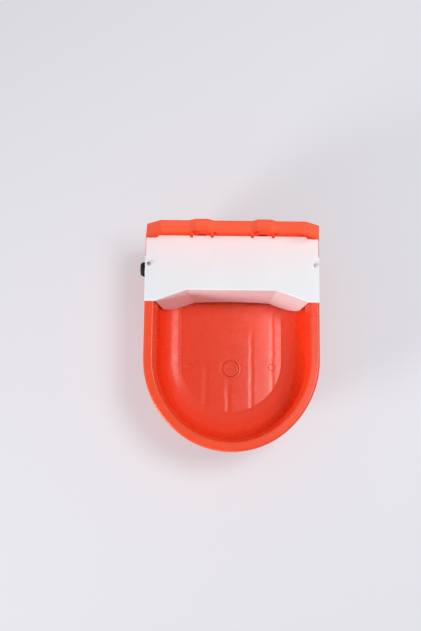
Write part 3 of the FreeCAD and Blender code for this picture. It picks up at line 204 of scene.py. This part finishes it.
def addFloorMarks(tree, axes, floorLevel):
    # sink marks over the ribs under the floor and round the drain, and the ejector marks
    look = floorMarks
    wander = addProduct(tree, addNoise(tree, *look["wander"]), look["wanderReach"])
    across = addSum(tree, axes["X"], wander)
    marks = 0
    for centre, half, height, back in look["streaks"]:
        line = addRidge(tree, across, centre + look["wanderReach"] / 2, half, height)
        reach = addRange(tree, axes["Y"], 1, 0, back - look["streakFade"], back)
        marks = addSum(tree, marks, addProduct(tree, line, reach))
    seenFlat = {0: addPlace(tree), 1: (1, 1, 0)}
    flat = addNode(tree, "ShaderNodeVectorMath", seenFlat, operation="MULTIPLY")
    for x, y, radius, half, height in look["rings"]:
        ends = {0: flat.outputs[0], 1: (x, y, 0)}
        reach = addNode(tree, "ShaderNodeVectorMath", ends, operation="DISTANCE").outputs["Value"]
        marks = addSum(tree, marks, addRidge(tree, reach, radius, half, height))
    onFloor = addBelow(tree, axes["Z"], floorLevel, look["markSpan"])
    inBasin = addBelow(tree, axes["Z"], floorLevel, look["bowSpan"])
    side = addMath(tree, "MINIMUM", addMath(tree, "ABSOLUTE", axes["X"]), look["bowHalf"])
    bow = addProduct(tree, addMath(tree, "POWER", side, 2), -look["bow"])
    return addSum(tree, addProduct(tree, marks, onFloor), addProduct(tree, bow, inBasin))


def makeRedPlastic():
    # moulded polypropylene: a red with painted light on the back wall, painted shade in the basin and
    # a paler painted floor, a faint cloudiness, a slightly wavy skin
    look = redPlastic
    material, tree, shader = newMaterial("redPlastic", look["colour"], look["roughness"][1],
                                         specular=look["specular"])
    axes = addAxes(tree)
    onWall = addRange(tree, axes["Y"], 0, 1, *look["wallFront"])
    inBasin = addBelow(tree, axes["Z"], 0, look["rimSpan"])
    onFloor = addBelow(tree, axes["Z"], look["floorLevel"], look["floorSpan"])
    clouds = addRange(tree, addNoise(tree, *look["clouds"]), 0, 1)
    tint = addMix(tree, clouds, look["colour"], look["deepColour"])
    # painted shade: the basin a deeper red than the rest of the moulding
    tint = addMix(tree, inBasin, tint, look["basinPaintedShade"])
    # painted light: the back wall a brighter red
    tint = addMix(tree, onWall, tint, look["wallPaintedLight"])
    # painted light: the basin floor paler than the basin walls
    tint = addMix(tree, onFloor, tint, look["floorPaintedLight"])
    tree.links.new(tint, shader.inputs["Base Color"])
    gloss = addRange(tree, addNoise(tree, *look["gloss"]), *look["roughness"])
    matt = addProduct(tree, onWall, look["wallRoughness"])
    tree.links.new(addSum(tree, gloss, matt), shader.inputs["Roughness"])
    waves = addProduct(tree, addNoise(tree, *look["waves"]), look["waveHeight"])
    grain = addProduct(tree, addNoise(tree, *look["grain"]), look["grainHeight"])
    skin = addSum(tree, addSum(tree, waves, grain), addFloorMarks(tree, axes, look["floorLevel"]))
    edge = addNode(tree, "ShaderNodeBevel", {"Radius": look["edgeRound"]}, samples=look["edgeSamples"])
    addBump(tree, shader, skin, 1.0, Normal=edge.outputs["Normal"])
    return material


skins = {  # noises as scale and detail
    "cover": {
        "wear": (12.0, 3.0),
        "wearSpan": (0.3, 0.7),
        "gloss": (80.0, 4.0),
        "glossSpread": (-0.05, 0.05),
        "grain": (1100.0, 2.0),
        "grainHeight": 0.00003,
    },
    "plastic": {
        "wear": (90.0, 4.0),
        "wearSpan": (0.35, 0.75),
        "gloss": (140.0, 3.0),
        "glossSpread": (-0.06, 0.08),
        "grain": (800.0, 2.0),
        "grainHeight": 0.00005,
    },
    "metal": {
        "wear": (160.0, 4.0),
        "wearSpan": (0.3, 0.7),
        "gloss": (500.0, 3.0),
        "glossSpread": (-0.07, 0.1),
        "grain": (900.0, 2.0),
        "grainHeight": 0.00002,
    },
    "rubber": {
        "wear": (300.0, 3.0),
        "wearSpan": (0.3, 0.7),
        "grain": (1500.0, 2.0),
        "grainHeight": 0.00004,
    },
}


def makeFinish(name, skin, colour, wornColour, roughness, **surface):
    # a colour that wears or gathers dust in patches, a fine grain and, but for rubber, uneven gloss
    look = skins[skin]
    material, tree, shader = newMaterial(name, colour, roughness, **surface)
    wear = addRange(tree, addNoise(tree, *look["wear"]), 0, 1, *look["wearSpan"])
    tree.links.new(addMix(tree, wear, colour, wornColour), shader.inputs["Base Color"])
    if "gloss" in look:
        low, high = (roughness + spread for spread in look["glossSpread"])
        gloss = addRange(tree, addNoise(tree, *look["gloss"]), low, high)
        tree.links.new(gloss, shader.inputs["Roughness"])
    addBump(tree, shader, addNoise(tree, *look["grain"]), look["grainHeight"])
    return material


finishes = {
    "bowl_red": makeRedPlastic(),
    "plug_red": makeRedPlastic(),
    "cover_white": makeFinish("whitePlastic", "cover", (236, 242, 247), (232, 238, 242), 0.33),
    "black_plastic": makeFinish("blackPlastic", "plastic", (9, 9, 8), (17, 16, 15), 0.6, specular=0.3),
    "valve_white": makeFinish("valvePlastic", "plastic", (226, 226, 220), (210, 208, 198), 0.42),
    "lever_grey": makeFinish("leverPlastic", "plastic", (112, 114, 118), (130, 131, 133), 0.45),
    "float_blue": makeFinish("floatPlastic", "plastic", (42, 74, 132), (56, 88, 142), 0.42),
    "brass": makeFinish("turnedBrass", "metal", (214, 178, 96), (176, 138, 70), 0.28, metallic=1.0),
    "steel": makeFinish("platedSteel", "metal", (186, 188, 190), (146, 148, 151), 0.4, metallic=1.0),
    "rubber": makeFinish("sealRubber", "rubber", (24, 24, 25), (44, 43, 42), 0.75),
}


def dressNodes():
    for part in frame["record"]["subparts"]:
        mesh = frame["nodes"][part["node"]].data
        mesh.materials.clear()
        mesh.materials.append(finishes[part["material_slot"]])


dressNodes()
print("materials on", len(frame["nodes"]), "nodes")


inletThread = {
    "pitch": 0.001814,  # half inch pipe thread
    "root": 0.0093,
    "crest": 0.01042,
    "rootWidth": 0.0016,
    "crestWidth": 0.00035,
    "endLead": 0.0009,  # plain end of the stub before the first turn
    "innerLead": 0.0004,  # from the last turn to the locknut's inner face
    "stepsPerTurn": 48,
    "profileTurn": math.pi / 2,  # brings the crest outwards
    "cutPast": 0.002,  # how far the cutting tube reaches past the crest
    "cutSteps": 96,
    "weld": 1e-6,
    "sharpAngle": math.radians(20),
}


def buildThreadTree(material):
    # a trapezoid swept along a helix
    look = inletThread
    tree = bpy.data.node_groups.new("pipeThread", "GeometryNodeTree")
    sockets = {}
    for name, kind, value in (
        ("Root Radius", "Float", look["root"]),
        ("Length", "Float", look["pitch"]),
        ("Pitch", "Float", look["pitch"]),
        ("Depth", "Float", look["crest"] - look["root"]),
        ("Root Width", "Float", look["rootWidth"]),
        ("Crest Width", "Float", look["crestWidth"]),
        ("Steps Per Turn", "Int", look["stepsPerTurn"]),
        ("Material", "Material", material),
    ):
        socket = tree.interface.new_socket(name=name, in_out="INPUT", socket_type="NodeSocket" + kind)
        socket.default_value = value
        sockets[name] = socket.identifier
    tree.interface.new_socket(name="Geometry", in_out="OUTPUT", socket_type="NodeSocketGeometry")
    given = tree.nodes.new("NodeGroupInput").outputs
    turns = addMath(tree, "DIVIDE", given["Length"], given["Pitch"])
    middle = addMath(tree, "MULTIPLY_ADD", given["Depth"], 0.5, given["Root Radius"])
    helix = addNode(tree, "GeometryNodeCurveSpiral", {
        "Resolution": given["Steps Per Turn"],
        "Rotations": turns,
        "Start Radius": middle,
        "End Radius": middle,
        "Height": given["Length"],
    })
    path = addNode(tree, "GeometryNodeSetCurveNormal", {"Curve": helix.outputs[0]}, mode="Z_UP")
    shape = addNode(tree, "GeometryNodeCurvePrimitiveQuadrilateral", {
        "Bottom Width": given["Root Width"],
        "Top Width": given["Crest Width"],
        "Height": given["Depth"],
        "Offset": 0,
    }, mode="TRAPEZOID")
    turn = {0: shape.outputs[0], "Rotation": (0, 0, look["profileTurn"])}
    profile = addNode(tree, "GeometryNodeTransform", turn)
    sweep = addNode(tree, "GeometryNodeCurveToMesh", {
        "Curve": path.outputs[0],
        "Profile Curve": profile.outputs[0],
        "Fill Caps": True,
    })
    real = addNode(tree, "GeometryNodeRealizeInstances", {0: sweep.outputs[0]})
    dress = {"Geometry": real.outputs[0], "Material": given["Material"]}
    dressed = addNode(tree, "GeometryNodeSetMaterial", dress)
    addNode(tree, "NodeGroupOutput", {0: dressed.outputs[0]})
    return tree, sockets


def linkObject(name, data):
    piece = bpy.data.objects.new(name, data)
    bpy.context.collection.objects.link(piece)
    return piece


def plainMesh(piece):
    # the evaluated piece as a mesh without modifiers
    bpy.context.view_layer.update()
    mesh = bpy.data.meshes.new_from_object(piece.evaluated_get(bpy.context.evaluated_depsgraph_get()))
    piece.modifiers.clear()
    piece.data = mesh
    return mesh


def buildTube(name, inner, outer, start, end, centre, steps):
    # closed ring along X, from start to end
    points, faces = [], []
    for along, radius in ((start, inner), (start, outer), (end, outer), (end, inner)):
        for step in range(steps):
            angle = 2 * math.pi * step / steps
            y, z = centre[0] + radius * math.cos(angle), centre[1] + radius * math.sin(angle)
            points.append((along, y, z))
    for first in range(0, len(points), steps):
        second = (first + steps) % len(points)
        for step in range(steps):
            after = (step + 1) % steps
            faces.append((first + step, first + after, second + after, second + step))
    mesh = bpy.data.meshes.new(name)
    mesh.from_pydata(points, [], faces)
    return linkObject(name, mesh)


def turnDown(body, start, end, axis):
    # takes the stub down to the root of the thread
    look = inletThread
    shape = bmesh.new()
    shape.from_mesh(body.data)
    bmesh.ops.remove_doubles(shape, verts=shape.verts, dist=look["weld"])
    shape.to_mesh(body.data)
    shape.free()
    outer = look["crest"] + look["cutPast"]
    tool = buildTube("stubTool", look["root"], outer, start, end, axis, look["cutSteps"])
    cut = body.modifiers.new("turnDown", "BOOLEAN")
    cut.operation = "DIFFERENCE"
    cut.solver = "EXACT"
    cut.object = tool
    mesh = plainMesh(body)
    bpy.data.objects.remove(tool)
    return mesh


def buildInlet():
    # the valve body with its stub turned down, and the thread on it
    look = inletThread
    plastic = finishes["valve_white"]
    capLow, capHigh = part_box("inlet_cap")
    axis = ((capLow.y + capHigh.y) / 2, (capLow.z + capHigh.z) / 2)
    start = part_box("valve_body")[0].x + look["endLead"]
    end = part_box("locknut")[1].x - look["innerLead"]
    body = linkObject("inletBody", frame["nodes"]["valve_body"].data.copy())
    mesh = turnDown(body, start, end, axis)
    mesh.materials.clear()
    mesh.materials.append(plastic)
    mesh.shade_smooth()
    mesh.set_sharp_from_angle(angle=look["sharpAngle"])
    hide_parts("valve_body")

    thread = linkObject("inletThread", bpy.data.meshes.new("inletThread"))
    helix = thread.modifiers.new("helix", "NODES")
    helix.node_group, sockets = buildThreadTree(plastic)
    helix[sockets["Length"]] = end - start - look["rootWidth"]
    helix[sockets["Material"]] = plastic
    mesh = plainMesh(thread)
    place = Matrix.Translation((start + look["rootWidth"] / 2, *axis))
    mesh.transform(place @ Matrix.Rotation(math.pi / 2, 4, "Y"))
    mesh.set_sharp_from_angle(angle=look["sharpAngle"])
    for piece in (body, thread):
        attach(piece, "bowl_unit")


buildInlet()
print("inlet thread")


room = {
    "floorColour": (233, 235, 240),
    "floorSize": 6.0,
    "floorGap": 0.0002,  # under the base
    "floorRoughness": (0.86, 0.94),
    "floorGloss": (3.0, 2.0),  # scale and detail
    "paperGlow": 0.4,  # share of plain paper colour that the camera sees
    "paperColour": (232, 229, 235),
    "skyColour": (255, 253, 254),
    "skyLight": 0.34,  # strength of the even light on the object
    "skySeen": 0.6,  # strength that the camera and reflections see
    "lamps": {  # power in watts, place, diameter, beam in degrees
        "right": (20.8, (0.9, 0.0, 1.85), 0.95, 180),
        "front": (2.0, (-0.5, -1.9, 1.2), 1.4, 180),
        "left": (11.5, (-2.3, -1.6, 0.75), 1.0, 80),
    },
    "lampAim": (0, -0.15, -0.03),
}


def addSeen(tree):
    # 1 for what the camera, a reflection or clear plastic shows, 0 for light on the object
    rays = addNode(tree, "ShaderNodeLightPath", {}).outputs
    seen = addMath(tree, "MAXIMUM", rays["Is Camera Ray"], rays["Is Glossy Ray"])
    return addMath(tree, "MAXIMUM", seen, rays["Is Transmission Ray"])


def buildFloor():
    # plain pale floor just under the base
    half = room["floorSize"] / 2
    level = cadBox[0][2] - room["floorGap"]
    corners = [(x * half, y * half, level) for x, y in ((-1, -1), (1, -1), (1, 1), (-1, 1))]
    mesh = bpy.data.meshes.new("floor")
    mesh.from_pydata(corners, [], [(0, 1, 2, 3)])
    floor = linkObject("floor", mesh)
    material, tree, shader = newMaterial("floorPaper", room["floorColour"], room["floorRoughness"][0])
    gloss = addRange(tree, addNoise(tree, *room["floorGloss"]), *room["floorRoughness"])
    tree.links.new(gloss, shader.inputs["Roughness"])
    plain = addNode(tree, "ShaderNodeEmission", {"Color": linear(*room["paperColour"])})
    glow = addProduct(tree, addSeen(tree), room["paperGlow"])
    blend = addNode(tree, "ShaderNodeMixShader", {0: glow, 1: shader.outputs[0], 2: plain.outputs[0]})
    tree.links.new(blend.outputs[0], tree.nodes["Material Output"].inputs["Surface"])
    mesh.materials.append(material)


def addLamp(name, power, place, size, beam):
    lamp = bpy.data.lights.new(name, "AREA")
    lamp.energy = power
    lamp.shape = "DISK"
    lamp.size = size
    lamp.spread = math.radians(beam)
    holder = linkObject(name, lamp)
    holder.location = place
    ahead = Vector(room["lampAim"]) - Vector(place)
    holder.rotation_euler = ahead.to_track_quat("-Z", "Y").to_euler()


def buildLight():
    world = bpy.data.worlds.new("studio")
    bpy.context.scene.world = world
    world.use_nodes = True
    tree = world.node_tree
    backdrop = tree.nodes["Background"]
    backdrop.inputs["Color"].default_value = linear(*room["skyColour"])
    extra = addProduct(tree, addSeen(tree), room["skySeen"] - room["skyLight"])
    tree.links.new(addSum(tree, extra, room["skyLight"]), backdrop.inputs["Strength"])
    for name, values in room["lamps"].items():
        addLamp(name + "Lamp", *values)
    bpy.context.scene.view_settings.view_transform = "Standard"


buildFloor()
buildLight()
print("floor and light")


viewpoint = {
    "place": (-0.0309, -0.5667, 1.8994),
    "elevation": 77.5,
    "turn": 0.66,
    "focalPixels": 1150.0,
    "imageWidth": 421.0,
    "sensorWidth": 36.0,
    "nearest": 0.01,
}


def buildCamera():
    look = viewpoint
    camera = bpy.data.cameras.new("camera")
    camera.sensor_fit = "HORIZONTAL"
    camera.sensor_width = look["sensorWidth"]
    camera.lens = look["sensorWidth"] * look["focalPixels"] / look["imageWidth"]
    camera.clip_start = look["nearest"]
    holder = linkObject("camera", camera)
    holder.location = look["place"]
    holder.rotation_euler = (math.radians(90 - look["elevation"]), 0, math.radians(look["turn"]))
    bpy.context.scene.camera = holder


buildCamera()
print("camera")
